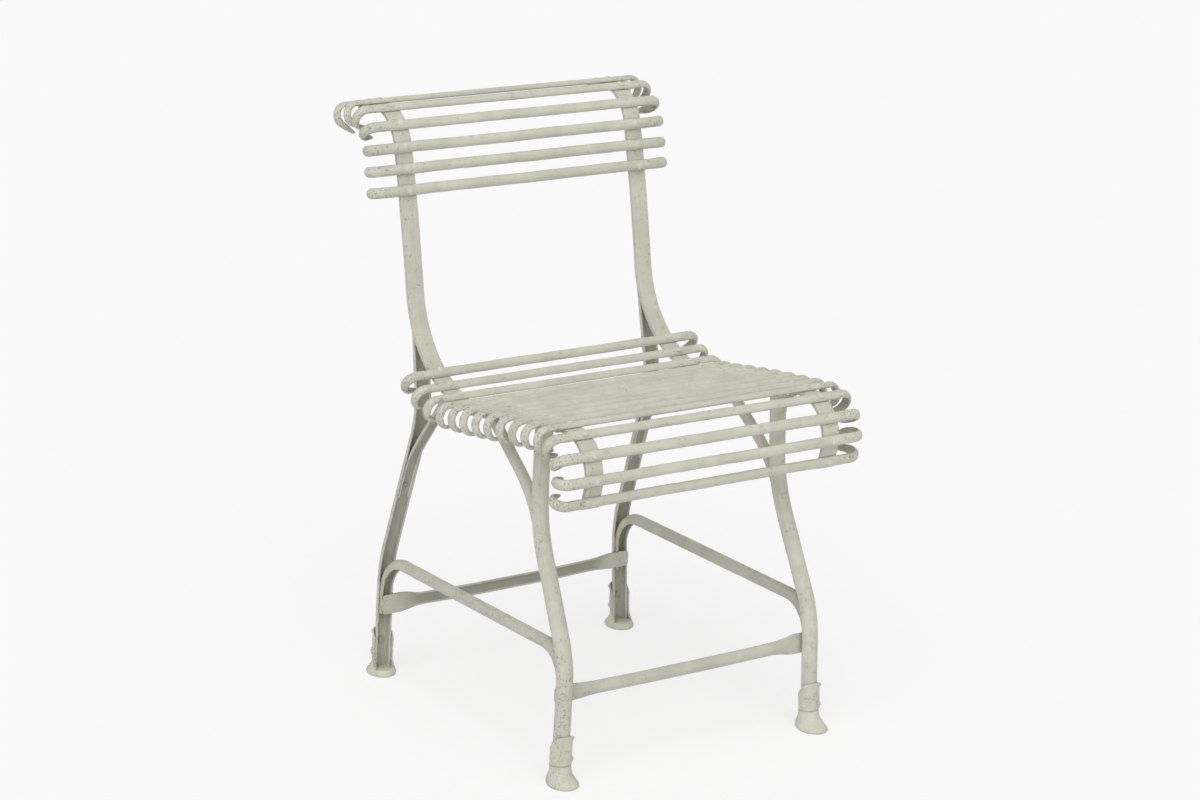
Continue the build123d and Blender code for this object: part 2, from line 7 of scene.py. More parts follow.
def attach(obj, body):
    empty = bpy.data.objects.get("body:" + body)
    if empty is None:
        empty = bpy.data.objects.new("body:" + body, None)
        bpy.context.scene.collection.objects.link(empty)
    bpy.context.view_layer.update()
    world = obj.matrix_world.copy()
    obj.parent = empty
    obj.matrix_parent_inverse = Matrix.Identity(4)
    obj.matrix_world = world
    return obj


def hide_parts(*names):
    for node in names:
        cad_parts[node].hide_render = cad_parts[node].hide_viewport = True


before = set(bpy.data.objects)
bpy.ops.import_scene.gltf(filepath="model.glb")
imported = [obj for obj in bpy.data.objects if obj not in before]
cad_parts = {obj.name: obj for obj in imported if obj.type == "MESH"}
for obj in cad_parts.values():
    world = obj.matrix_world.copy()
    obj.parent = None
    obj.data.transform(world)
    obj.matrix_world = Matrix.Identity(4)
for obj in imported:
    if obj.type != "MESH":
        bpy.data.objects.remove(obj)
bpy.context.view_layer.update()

# Side straps: two flat iron bars, one down each side, that carry every slat of the seat and the back.
# Each is one length of hot-rolled flat, bent on formers from the roll under the knees to the roll behind
# the head, then primed and brushed with a matt pebble-grey paint, with painted shade along the corners.
mm = 0.001
strap_x = 172.5 * mm
strap_width = 24.0 * mm
strap_thick = 5.0 * mm
strap_corner = 0.9 * mm
strap_end_ease = 1.2 * mm
strap_rings = 420
fit_gap = 0.2 * mm
bar_turn = np.linspace(0, 2 * np.pi, 32, endpoint=False) + np.pi / 32


def arc(radius, turn):
    """A bend as (length, turn): the length is the radius times the turned angle."""
    return radius * mm * np.radians(abs(turn)), turn


def whole_length(runs):
    """Length of straight runs and arcs laid end to end: the sum of theirs."""
    return sum(length for length, turn in runs)


def bent_line(start, heading, runs, s):
    """Points and headings at the lengths s along straight runs and arcs laid end to end in a plane.
    Over a run the heading grows evenly with the length. The chord from the run's start is the length times
    sinc of half the turned angle, and it lies along the heading halfway between."""
    length = np.array([run[0] for run in runs])
    turn = np.radians([run[1] for run in runs])
    begin = np.concatenate(([0.0], np.cumsum(length)))
    head = np.radians(heading) + np.concatenate(([0.0], np.cumsum(turn)))
    chord = length * np.sinc(turn / 2 / np.pi)
    halfway = head[:-1] + turn / 2
    first = start[0] * mm + np.concatenate(([0.0], np.cumsum(chord * np.cos(halfway))))
    second = start[1] * mm + np.concatenate(([0.0], np.cumsum(chord * np.sin(halfway))))
    i = np.clip(np.searchsorted(begin, s, side="right") - 1, 0, len(runs) - 1)
    past = s - begin[i]
    bend = turn[i] / length[i]
    reach = past * np.sinc(bend * past / 2 / np.pi)
    toward = head[i] + bend * past / 2
    return first[i] + reach * np.cos(toward), second[i] + reach * np.sin(toward), head[i] + bend * past


def carry(points, across, outward, profile):
    """A profile carried along a path: each ring is its path point plus the profile's first coordinate
    times the across direction and its second times the outward direction."""
    return points[:, None] + profile[..., :1] * across[:, None] + profile[..., 1:] * outward[:, None]


def rounded_bar(width, thick, ease):
    """A rectangle with eased corners, from its top face down: a small circle moved to the nearest corner."""
    a = np.sign(np.cos(bar_turn)) * (width / 2 - ease) + ease * np.cos(bar_turn)
    b = np.sign(np.sin(bar_turn)) * (thick / 2 - ease) + ease * np.sin(bar_turn) - thick / 2
    return np.stack([a, b], axis=-1)


def ripple(length, amount, pitch, seed):
    """Unevenness left by hand work: three sines of falling strength with seeded phases, along a length."""
    phase = np.random.default_rng(seed).uniform(0, 2 * np.pi, 3)
    turns = 2 * np.pi * np.asarray(length) / pitch
    return amount * (0.5 * np.sin(turns + phase[0]) + 0.3 * np.sin(2.3 * turns + phase[1])
                     + 0.2 * np.sin(5.1 * turns + phase[2]))


def skin(rings, run, painted_shade):
    """Closed skin over rings of points: quads from each ring to the next, and over each end a strip of quads
    that joins the ring's first half to its second half, point by point. The corners' map has the length along
    the bar and the way round the ring, in metres. The signed volume under the quads tells whether the faces
    look outwards, and if not they are all turned."""
    count, sides, _ = rings.shape
    at = np.arange(count * sides).reshape(count, sides)
    beside = np.roll(at, -1, axis=1)
    quads = np.stack([at[:-1], beside[:-1], beside[1:], at[1:]], axis=-1).reshape(-1, 4)
    middle = rings[count // 2]
    steps = np.linalg.norm(np.roll(middle, -1, axis=0) - middle, axis=1)
    girth = np.concatenate(([0.0], np.cumsum(steps)))
    u = np.broadcast_to(np.asarray(run)[:, None], (count, sides))
    v0 = np.broadcast_to(girth[:-1], (count, sides))
    v1 = np.broadcast_to(girth[1:], (count, sides))
    corner_u = np.stack([u[:-1], u[:-1], u[1:], u[1:]], axis=-1).reshape(-1, 4)
    corner_v = np.stack([v0[:-1], v1[:-1], v1[1:], v0[1:]], axis=-1).reshape(-1, 4)
    points = rings.reshape(-1, 3)
    a, b, c, d = (points[quads[:, k]] - points.mean(axis=0) for k in range(4))
    volume = np.sum(np.cross(a, b) * c) + np.sum(np.cross(a, c) * d)
    j = np.arange(sides // 2 - 1)
    strip = np.stack([j, j + 1, sides - 2 - j, sides - 1 - j], axis=-1)
    quads = np.concatenate([quads, at[0][strip[:, ::-1]], at[-1][strip]])
    corner_u = np.concatenate([corner_u, 0 * strip + u[0, 0], 0 * strip + u[-1, 0]])
    corner_v = np.concatenate([corner_v, v0[0][strip[:, ::-1]], v0[-1][strip]])
    if volume < 0:
        quads, corner_u, corner_v = quads[:, ::-1], corner_u[:, ::-1], corner_v[:, ::-1]
    # Painted shade given point by point: how much each point of the rings is darkened.
    shade_values = np.broadcast_to(painted_shade, (count, sides)).ravel()
    return points, quads.tolist(), np.stack([corner_u, corner_v], axis=-1).reshape(-1, 2), shade_values


def make_piece(name, skins, nodes, finish, crease):
    """One object from one or more skins, standing for its CAD nodes and riding on the chair. The faces of
    each skin count on from the points of the skins before it."""
    points, faces, uv, shade_values = zip(*skins)
    first = np.cumsum([0] + [len(part) for part in points])
    corners = np.concatenate([np.add(part, start) for part, start in zip(faces, first)])
    mesh = bpy.data.meshes.new(name)
    mesh.from_pydata(np.concatenate(points), [], corners.tolist())
    mesh.uv_layers.new(name="bar").uv.foreach_set("vector", np.concatenate(uv).ravel())
    # The painted shade of each point, which the paint reads to darken it.
    mesh.attributes.new("painted_shade", "FLOAT", "POINT").data.foreach_set("value", np.concatenate(shade_values))
    mesh.shade_smooth()
    mesh.set_sharp_from_angle(angle=np.radians(crease))
    mesh.materials.append(finish)
    piece = bpy.data.objects.new(name, mesh)
    bpy.context.scene.collection.objects.link(piece)
    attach(piece, "root")
    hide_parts(*nodes)


def shader_node(tree, kind, inputs, **settings):
    """A new node with its settings and inputs, of which a socket is linked and anything else is a constant.
    Returns the node's outputs."""
    made = tree.nodes.new("ShaderNode" + kind)
    for key, value in settings.items():
        setattr(made, key, value)
    for key, value in inputs.items():
        if isinstance(value, bpy.types.NodeSocket):
            tree.links.new(value, made.inputs[key])
        else:
            made.inputs[key].default_value = value
    return made.outputs


def grey_paint(name, pale, shade, streaks, pits, dents, mapped):
    """Matt paint brushed over iron. Colour runs in soft clouds between a pale and a shaded grey, with fine
    brush streaks along the bar and small dark pits where grit and rust show through, most of them out at the
    chair's sides. Painted shade, given point by point, darkens it in hollows, creases and along edges. Height
    adds shallow hammer dents, a fine grain and the pits. Roughness wanders a little with the clouds."""
    mottle_tone = 0.40, 0.40, 0.32, 1.0
    streak_tone = 0.30, 0.30, 0.235, 1.0
    pit_tone = 0.13, 0.125, 0.095, 1.0
    # Painted shade: the darker grey mixed in where points are shaded.
    painted_shade_tone = 0.315, 0.312, 0.258, 1.0
    paint = bpy.data.materials.new(name)
    paint.use_nodes = True
    paint.node_tree.nodes.clear()
    node = partial(shader_node, paint.node_tree)

    def span(value, low, high, to_low, to_high):
        limits = {"From Min": low, "From Max": high, "To Min": to_low, "To Max": to_high}
        return node("MapRange", {"Value": value, **limits}, interpolation_type="SMOOTHSTEP")["Result"]

    def mix(share, first, second):
        return node("Mix", {0: share, 6: first, 7: second}, data_type="RGBA")[2]

    def noise(vector, scale, detail, rough):
        inputs = {"Vector": vector, "Scale": scale, "Detail": detail, "Roughness": rough}
        return node("TexNoise", inputs)["Fac"]

    def times(first, second):
        return node("Math", {0: first, 1: second}, operation="MULTIPLY")["Value"]

    def bump(height, strength, distance, **under):
        inputs = {"Height": height, "Strength": strength, "Distance": distance, **under}
        return node("Bump", inputs)["Normal"]

    place = node("TexCoord", {})["Object"]
    if mapped:
        along = node("Mapping", {"Vector": node("UVMap", {}, uv_map="bar")["UV"], "Scale": (9.0, 520.0, 1.0)})
    else:
        along = node("Mapping", {"Vector": place, "Scale": (420.0, 420.0, 9.0)})
    clouds = noise(place, 14.0, 4.0, 0.6)
    mottle = noise(place, 75.0, 3.0, 0.55)
    brush = noise(along["Vector"], 1.0, 2.0, 0.5)
    grain = noise(place, 1150.0, 2.0, 0.6)
    flecks = noise(place, 430.0, 3.0, 0.65)
    side_x = node("Math", {0: node("SeparateXYZ", {0: place})["X"]}, operation="ABSOLUTE")["Value"]
    toward_ends = span(side_x, 0.165, 0.205, 0.0, 0.2)
    patch = node("Math", {0: noise(place, 55.0, 2.0, 0.5), 1: toward_ends}, operation="ADD")["Value"]
    where = span(patch, 0.58 - 0.1 * pits, 0.68 - 0.1 * pits, 0.0, 1.0)
    more_flecks = node("Math", {0: toward_ends, 1: 0.22, 2: flecks}, operation="MULTIPLY_ADD")["Value"]
    holes = times(span(more_flecks, 0.6, 0.7, 0.0, 1.0), where)
    colour = mix(span(clouds, 0.34, 0.68, 0.0, 1.0), pale + (1.0,), shade + (1.0,))
    colour = mix(span(mottle, 0.4, 0.72, 0.0, 0.28), colour, mottle_tone)
    colour = mix(span(brush, 0.5, 0.78, 0.0, streaks), colour, streak_tone)
    colour = mix(span(holes, 0.15, 0.85, 0.0, 0.62), colour, pit_tone)
    # Painted shade from each point's value, broken a little by the brush streaks, mixes in a darker grey.
    painted_shade = node("Attribute", {}, attribute_name="painted_shade")["Fac"]
    thick = times(painted_shade, span(brush, 0.3, 0.62, 0.8, 1.0))
    colour = mix(times(thick, 0.8), colour, painted_shade_tone)
    rough = span(clouds, 0.3, 0.7, 0.5, 0.66)
    dent = bump(mottle, 0.6 * dents, 0.0016)
    dent = bump(brush, 0.35, 0.00025, Normal=dent)
    dent = bump(holes, 0.8, -0.0006, Normal=dent)
    dent = bump(grain, 0.5, 0.00022, Normal=dent)
    shader = node("BsdfPrincipled", {"Base Color": colour, "Roughness": rough, "Normal": dent,
                                     "Specular IOR Level": 0.32})
    node("OutputMaterial", {"Surface": shader["BSDF"]})
    return paint


strap_runs = [(26.6 * mm, 0), arc(49.6, -109.7), arc(2440.0, -5.0), arc(132.0, 91.1), arc(2420.0, -4.35),
              arc(55.1, -86.1), arc(180.0, -11.4)]
strap_length = whole_length(strap_runs)
strap_start = -261.9, 352.4
strap_heading = 105.0


def strap_place(s):
    """Where the sitting face of the straps runs at the lengths s: distance back, height and heading."""
    return bent_line(strap_start, strap_heading, strap_runs, np.asarray(s, dtype=float))


strap_paint = grey_paint("strap_paint", (0.55, 0.541, 0.46), (0.485, 0.476, 0.402), streaks=0.22, pits=0.9,
                         dents=0.5, mapped=True)
strap_section = rounded_bar(strap_width, strap_thick, strap_corner)
# Painted shade along the strap's four corners, where the edges turn away from the light.
corner_shade = 0.9 * np.sin(2 * bar_turn) ** 4
for side, name in ((-1, "left_side_strap"), (1, "right_side_strap")):
    inner_run = np.linspace(strap_end_ease, strap_length - strap_end_ease, strap_rings)
    run = np.concatenate(([0.0, 0.5 * mm], inner_run, [strap_length - 0.5 * mm, strap_length]))
    back, height, heading = strap_place(run)
    path = np.stack([np.full_like(run, side * strap_x), back, height], axis=-1)
    across = np.stack([np.ones_like(run), 0 * run, 0 * run], axis=-1)
    outward = np.stack([0 * run, -np.sin(heading), np.cos(heading)], axis=-1)
    from_end = np.minimum(run, strap_length - run) / strap_end_ease
    ease = 1 - 0.5 * np.sqrt(1 - np.clip(from_end, 0, 1) ** 2)
    wide = (1 - (1 - ease) * 0.12)[:, None] * (1 + ripple(run, 0.012, 0.16, 3 + side))[:, None]
    deep = (strap_section[:, 1] + strap_thick / 2) * ease[:, None] - strap_thick / 2
    rings = carry(path, across, outward, np.stack([strap_section[:, 0] * wide, deep], axis=-1))
    make_piece(name.replace("side_strap", "strap_bar"), [skin(rings, run, corner_shade)], [name],
               strap_paint, crease=50)

# Slats: twenty-three half-round iron bars laid across the straps, flat side down, four round the front roll,
# twelve over the seat and seven on the back. Each end is bent right under into a hook round the strap's outer
# side, and two pins hold each slat. They are bent and set by hand, so no two are quite alike.
slat_radius = 6.5 * mm
slat_corner = 0.8 * mm
slat_half = 206.0
hook_radius = 11.5
slat_pitch = 28.1
first_slat = 10.6
first_back_slat = 670.375
tail_length, tail_spread = 6.0, 1.6
shortest_tail, longest_tail = 3.0, 25.0
curl_angle, curl_spread = 180.0, 3.0
hook_spread = 0.5
drawn_length = 26.0 * mm
drawn_width = 0.26
tip_length = 1.4 * mm
slat_steps = 9, 30, 110, 30, 9
slat_at = np.concatenate([first_slat + slat_pitch * np.arange(16),
                          first_back_slat + slat_pitch * np.arange(7)]) * mm
slat_names = ["front_slat_%d" % k for k in (4, 3, 2, 1)] + ["seat_slat_%d" % k for k in range(1, 13)]
slat_names = slat_names + ["back_slat_%d" % k for k in range(1, 8)]


def half_round(radius, ease):
    """A half-round bar with eased lower corners: an arch on a flat, joined by two small quarter turns."""
    arch = np.linspace(0, np.pi, 27)
    turn = np.linspace(0, np.pi / 2, 4)[1:]
    flat = np.linspace(-1, 1, 8)[1:-1] * (radius - ease)
    a = np.concatenate([radius * np.cos(arch), -radius + ease * (1 - np.cos(turn)), flat,
                        radius - ease * (1 - np.sin(turn))])
    b = np.concatenate([ease + (radius - ease) * np.sin(arch), ease * (1 - np.sin(turn)), 0 * flat,
                        ease * (1 - np.cos(turn))])
    return np.stack([a, b], axis=-1)[:-1]


def bell(value, middle, width):
    """A bell curve: 1 at the middle, falling with the exponential of the squared distance in widths."""
    return np.exp(-((value - middle) / width) ** 2)


slat_paint = grey_paint("slat_paint", (0.57, 0.561, 0.477), (0.505, 0.496, 0.42), streaks=0.3, pits=0.8,
                        dents=0.7, mapped=True)
slat_section = half_round(slat_radius, slat_corner)
# Painted shade along the slat's lower edges, next to the flat underside.
low_edge_shade = 0.75 * bell(slat_section[:, 1], 0.0, 1.5 * mm)
paint_build = 1.05
# What differs on single slats, counted from the front: longer tails and wider hooks in millimetres, curls
# opened in degrees, and how far up the straps the left and the right end are set, in millimetres.
long_tails = {22: 17.0, 21: 9.0, 19: 5.0, 18: 2.0}
wide_hooks = {6: 0.6, 7: 1.0, 8: 1.2, 9: 1.2, 10: 1.0, 11: 0.6}
open_curls = {22: -40.0, 21: -24.0, 19: -20.0}
hand_set = {2: (0.8, -0.2), 3: (2.0, 1.2), 14: (0.2, 1.6), 15: (-2.0, 0.2), 16: (1.3, 1.3), 18: (-1.3, -0.9),
            19: (-0.7, -0.7), 20: (0.9, 0.9)}
for k, name in enumerate(slat_names):
    chance = np.random.default_rng(40 + k)
    tails = tail_length + chance.normal(0, tail_spread, 2) + long_tails.get(k, 0.0)
    tails = np.clip(tails, shortest_tail, longest_tail) * mm
    curl = curl_angle + chance.normal(0, curl_spread, 2) + open_curls.get(k, 0.0)
    tight = hook_radius - chance.uniform(0.0, hook_spread, 2) + wide_hooks.get(k, 0.0)
    half = slat_half + hook_radius - tight
    runs = [(tails[0], 0), arc(tight[0], -curl[0]), ((half[0] + half[1]) * mm, 0), arc(tight[1], -curl[1]),
            (tails[1], 0)]
    stops = np.concatenate(([0.0], np.cumsum([length for length, turn in runs])))
    parts = [np.linspace(low, high, n)[:-1] for low, high, n in zip(stops[:-1], stops[1:], slat_steps)]
    run = np.concatenate(parts + [stops[-1:]])
    x, lift, turned = bent_line((0.0, 0.0), curl[0], runs, run)
    first = np.searchsorted(run, stops[2])
    x, lift = x - x[first] - half[0] * mm, lift - lift[first]
    set_left, set_right = np.array(hand_set.get(k, (0.0, 0.0))) * mm
    back, height, heading = (float(v[0]) for v in strap_place([slat_at[k] + (set_left + set_right) / 2]))
    up = np.array([0.0, -np.sin(heading), np.cos(heading)])
    beside = np.array([0.0, np.cos(heading), np.sin(heading)])
    sway = ripple(x, 0.35 * mm, 0.21, 80 + k) + (set_right - set_left) / 2 * x / strap_x
    base = np.array([0.0, back, height]) + fit_gap * up
    path = base + np.stack([x, 0 * x, 0 * x], axis=-1) + lift[:, None] * up + sway[:, None] * beside
    outward = np.sin(turned)[:, None] * np.array([-1.0, 0.0, 0.0]) + np.cos(turned)[:, None] * up
    across = np.broadcast_to(beside, path.shape)
    from_end = np.minimum(run, stops[-1] - run)
    drawn = np.clip(from_end / drawn_length, 0, 1)
    taper = drawn_width + (1 - drawn_width) * np.sin(drawn * np.pi / 2) ** 0.9
    blunt = np.clip(from_end / tip_length, 0, 1)
    tip = 0.6 + 0.4 * np.sqrt(blunt * (2 - blunt))
    wide = paint_build * taper * tip * (1 + ripple(run, 0.02, 0.09, 140 + k))
    squeeze = np.stack([wide, (0.25 + 0.75 * taper) * tip], axis=-1)
    rings = carry(path, across, outward, slat_section * squeeze[:, None])
    make_piece(name.replace("slat", "bar"), [skin(rings, run, low_edge_shade)], [name], slat_paint,
               crease=48)

# Legs: four half-round hollow bars of iron, open towards the inside of the chair. The front pair is cranked
# back under the seat and ends in a flat tab turned forward below the strap. The rear pair runs up behind the
# straps, where its sides are cut away and the crest is hammered flat to the strap.
leg_radius = 11.5 * mm
leg_wall = 3.0 * mm
leg_base = 9.0
foot_x = 187.0 * mm
splay = np.radians(1.9)
front_foot_y = -229.92
rear_foot_y = 197.11
sides = (-1, "left"), (1, "right")
leg_paint = grey_paint("leg_paint", (0.56, 0.55, 0.468), (0.50, 0.49, 0.414), streaks=0.25, pits=0.4,
                       dents=0.8, mapped=True)


def channel(radius, wall, skirt):
    """A half-round hollow bar: an outer arch, a rounded tip, the inner arch back and the other tip. A skirt
    lets both sides run straight down below the arches. Returns the loop and 1 on its hollow side, else 0."""
    ease = 0.35 * wall
    way = np.linspace(0, 1, 27)
    low = np.arcsin(ease / np.array([radius, radius - wall])) * (skirt == 0)
    outer = low[0] + (np.pi - 2 * low[0]) * way
    inner = np.pi - low[1] - (np.pi - 2 * low[1]) * way
    foot = np.linspace(np.pi, 2 * np.pi, 6)[1:-1]
    middle = radius - wall / 2
    down = ease * (1 + np.sin(foot)) - skirt
    a = np.concatenate([radius * np.cos(outer), wall / 2 * np.cos(foot) - middle,
                        (radius - wall) * np.cos(inner), wall / 2 * np.cos(foot) + middle])
    b = np.concatenate([radius * np.sin(outer), down, (radius - wall) * np.sin(inner), down])
    # The hollow side is darkened with painted shade through this mask.
    shade_mask = np.concatenate([0 * way, 0 * foot, 0 * way + 1, 0 * foot])
    return np.roll(np.stack([a, b], axis=-1), 2, axis=0), np.roll(shade_mask, 2)


def uneven(run, amount, pitch, seed):
    """Scale of each ring of a bar: 1 and the ripple at its length."""
    return (1 + ripple(run, amount, pitch, seed))[:, None, None]


def in_leg_plane(side, back, tall):
    """Points of the upright plane that a side's legs lie in, which leans inwards by the splay."""
    return np.stack([side * (foot_x - np.sin(splay) * tall), back, np.cos(splay) * tall], axis=-1)


def leg_frame(side, heading, fore):
    """Directions across a bar that lies in the leg plane and out of its round side, which is on the left of
    the heading at the front of the chair and on the right at the rear."""
    level = np.array([0.0, 1.0, 0.0])
    upright = np.array([-side * np.sin(splay), 0.0, np.cos(splay)])
    across = np.broadcast_to([np.cos(splay), 0.0, side * np.sin(splay)], (len(heading), 3))
    out = fore * np.sin(heading)[:, None] * level - fore * np.cos(heading)[:, None] * upright
    return across, out


def to_strap(path, out, first, last):
    """How far the strap's under face lies from each path point along the out direction, and how near it is:
    the nearest of many points on that face between two lengths along the strap."""
    back, height, heading = strap_place(np.linspace(first * mm, last * mm, 900))
    sunk = strap_thick + fit_gap
    face = np.stack([back + sunk * np.sin(heading), height - sunk * np.cos(heading)], axis=-1)
    gap = face[None] - path[:, None, 1:]
    away = np.hypot(gap[..., 0], gap[..., 1])
    best = np.arange(len(path)), away.argmin(axis=1)
    return (gap[best] * out[:, 1:]).sum(axis=1), away[best]


front_runs = [(112.0 * mm, 0), arc(133.6, -26.0), (97.0 * mm, 0), arc(185.0, 26.0), (78.65 * mm, 0)]
rear_runs = [(108.95 * mm, 0), arc(178.4, 19.5), (172.8 * mm, 0), arc(124.9, -28.47), (185.0 * mm, 0)]
behind_strap = 430.0, 640.0
top_cut = np.tan(np.radians(-6.2))
top_cut_length = 30.0 * mm
tab_x = 172.77 * mm
tab_start = -165.155, 398.87
tab_runs = [(19.1 * mm, 0), arc(12.0, 84.6), (21.1 * mm, 0)]
tab_width, tab_thick, tab_corner = 16.0 * mm, 3.2 * mm, 0.7 * mm
tab_section = rounded_bar(tab_width, tab_thick, tab_corner) + [0.0, tab_thick / 2]
leg_section, leg_hollow_side = channel(leg_radius, leg_wall, 0)
for side, hand in sides:
    run = np.linspace(0, whole_length(front_runs), 230)
    back, tall, heading = bent_line((front_foot_y, leg_base), 90.0, front_runs, run)
    across, out = leg_frame(side, heading, -1)
    rounds = leg_section * uneven(run, 0.012, 0.07, 20 + side)
    rings = carry(in_leg_plane(side, back, tall), across, out, rounds)
    near_top = np.clip(1 - (run[-1] - run) / top_cut_length, 0, 1)[:, None]
    rings[..., 2] += near_top * top_cut * (rings[..., 1] - back[:, None])
    tab_run = np.linspace(0, whole_length(tab_runs), 40)
    back, tall, heading = bent_line(tab_start, 90.0, tab_runs, tab_run)
    path = np.stack([0 * tab_run + side * tab_x, back, tall], axis=-1)
    across = np.broadcast_to([1.0, 0.0, 0.0], path.shape)
    out = np.stack([0 * tab_run, np.sin(heading), -np.cos(heading)], axis=-1)
    tab_rings = carry(path, across, out, tab_section)
    make_piece("front_%s_shank" % hand, [skin(rings, run, leg_hollow_side), skin(tab_rings, tab_run, 0.0)],
               ["front_%s_leg" % hand], leg_paint, crease=50)

    run = np.linspace(0, whole_length(rear_runs), 300)
    back, tall, heading = bent_line((rear_foot_y, leg_base), 90.0, rear_runs, run)
    across, out = leg_frame(side, heading, 1)
    path = in_leg_plane(side, back, tall)
    cut = to_strap(path, out, *behind_strap)[0][:, None]
    a, b = leg_section[:, 0], leg_section[:, 1]
    slid = np.sign(a) * np.sqrt(np.clip(np.hypot(a, b) ** 2 - cut ** 2, 0, None))
    rounds = np.stack([np.where(b < cut, slid, a), np.where(b < cut, cut, b)], axis=-1)
    rings = carry(path, across, out, rounds * uneven(run, 0.008, 0.07, 30 + side))
    make_piece("rear_%s_shank" % hand, [skin(rings, run, leg_hollow_side)], ["rear_%s_leg" % hand],
               leg_paint, crease=50)

# Braces: four lighter half-round iron bars that lie nested in the hollows of the legs and bend away to carry
# the straps from below. A large pin holds each to its leg. The heads are filed flat and share slats' pins.
brace_radius = 8.2 * mm
brace_wall = 2.7 * mm
filed_within = 10.0 * mm
front_brace_runs = [(47.36 * mm, 0), arc(140.0, -28.0), (73.61 * mm, 0), arc(32.0, -45.69), (43.07 * mm, 0)]
rear_brace_runs = [(37.28 * mm, 0), arc(140.0, 19.5), (82.68 * mm, 0), arc(32.0, 59.28), (15.79 * mm, 0)]
# Of each pair: the way it faces, its name, where its toe starts in millimetres and how it leans in degrees,
# its runs, and between which lengths along the strap it is filed to it.
front_brace = -1, "front", (-176.19, 262.0), 64.0, front_brace_runs, (250.0, 400.0)
rear_brace = 1, "rear", (161.2, 250.0), 109.5, rear_brace_runs, (330.0, 460.0)
brace_section, brace_hollow_side = channel(brace_radius, brace_wall, 0)
for side, hand in sides:
    for fore, place, toe, lean, runs, under_strap in (front_brace, rear_brace):
        run = np.linspace(0, whole_length(runs), 130)
        back, tall, heading = bent_line(toe, lean, runs, run)
        across, out = leg_frame(side, heading, fore)
        path = in_leg_plane(side, back, tall)
        filed, near = to_strap(path, out, *under_strap)
        rounds = brace_section * uneven(run, 0.012, 0.06, 50 + 2 * side + fore)
        limit = np.where(near < filed_within, filed, np.inf)[:, None]
        rounds[..., 1] = np.minimum(rounds[..., 1], limit)
        make_piece("%s_%s_arm" % (place, hand), [skin(carry(path, across, out, rounds), run, brace_hollow_side)],
                   ["%s_%s_brace" % (place, hand)], leg_paint, crease=50)

# Side stretchers: two deep U bars of iron, one between the legs of each side. Both ends are bowed down and
# lie inside the hollows of the legs, held by the pins of the cross stretchers.
bow_radius = 8.2 * mm
bow_wall = 2.7 * mm
bow_skirt = 4.3 * mm
bow_start = 97.5
front_bow_rise = 68.3
rear_bow_rise = 81.8
front_bend = 40.0
rear_bend = 49.0
bow_span = rear_foot_y - front_foot_y
# The stretchers' grey is a darker copy of the chair's one paint: painted shade for bars low under the seat.
stretcher_paint = grey_paint("stretcher_paint", (0.51, 0.501, 0.426), (0.45, 0.441, 0.371), streaks=0.2,
                             pits=0.8, dents=0.8, mapped=True)
bow_section, bow_hollow_side = channel(bow_radius, bow_wall, bow_skirt)
for side, hand, drop in ((-1, "left", 7.0), (1, "right", 1.0)):
    tilt = np.degrees(np.arctan2(drop, bow_span))
    front_corner = front_bend * np.tan(np.radians(90.0 + tilt) / 2)
    rear_corner = rear_bend * np.tan(np.radians(90.0 - tilt) / 2)
    between = np.hypot(bow_span, drop) - front_corner - rear_corner
    bow_runs = [((front_bow_rise - front_corner) * mm, 0), arc(front_bend, -90.0 - tilt), (between * mm, 0),
                arc(rear_bend, tilt - 90.0), ((rear_bow_rise - drop - rear_corner) * mm, 0)]
    run = np.linspace(0, whole_length(bow_runs), 240)
    back, tall, heading = bent_line((front_foot_y, bow_start), 90.0, bow_runs, run)
    across, out = leg_frame(side, heading, -1)
    rounds = bow_section * uneven(run, 0.012, 0.08, 60 + side)
    rings = carry(in_leg_plane(side, back, tall), across, out, rounds)
    make_piece("%s_bow" % hand, [skin(rings, run, bow_hollow_side)], ["%s_side_stretcher" % hand],
               stretcher_paint, crease=50)

# Cross stretchers: a hollow half-round iron bar across the front and another across the back, round side out.
# Each end is hammered out into a flat paddle that lies in the leg's hollow and is pinned through it.
cross_radius = 8.2 * mm
cross_bore = 5.6 * mm
cross_wall = 2.6 * mm
paddle_past_leg = 7.4
paddle_corner = 4.0
paddle_deep = 1.6 * mm
hammered_from, flat_from = 62.0 * mm, 25.0 * mm
sags_from, sagged_at = 30.0 * mm, 150.0 * mm


def blend(value, low, high):
    """Smooth step from 0 at low to 1 at high: three times the squared share less twice its cube."""
    share = np.clip((value - low) / (high - low), 0, 1)
    return share * share * (3 - 2 * share)


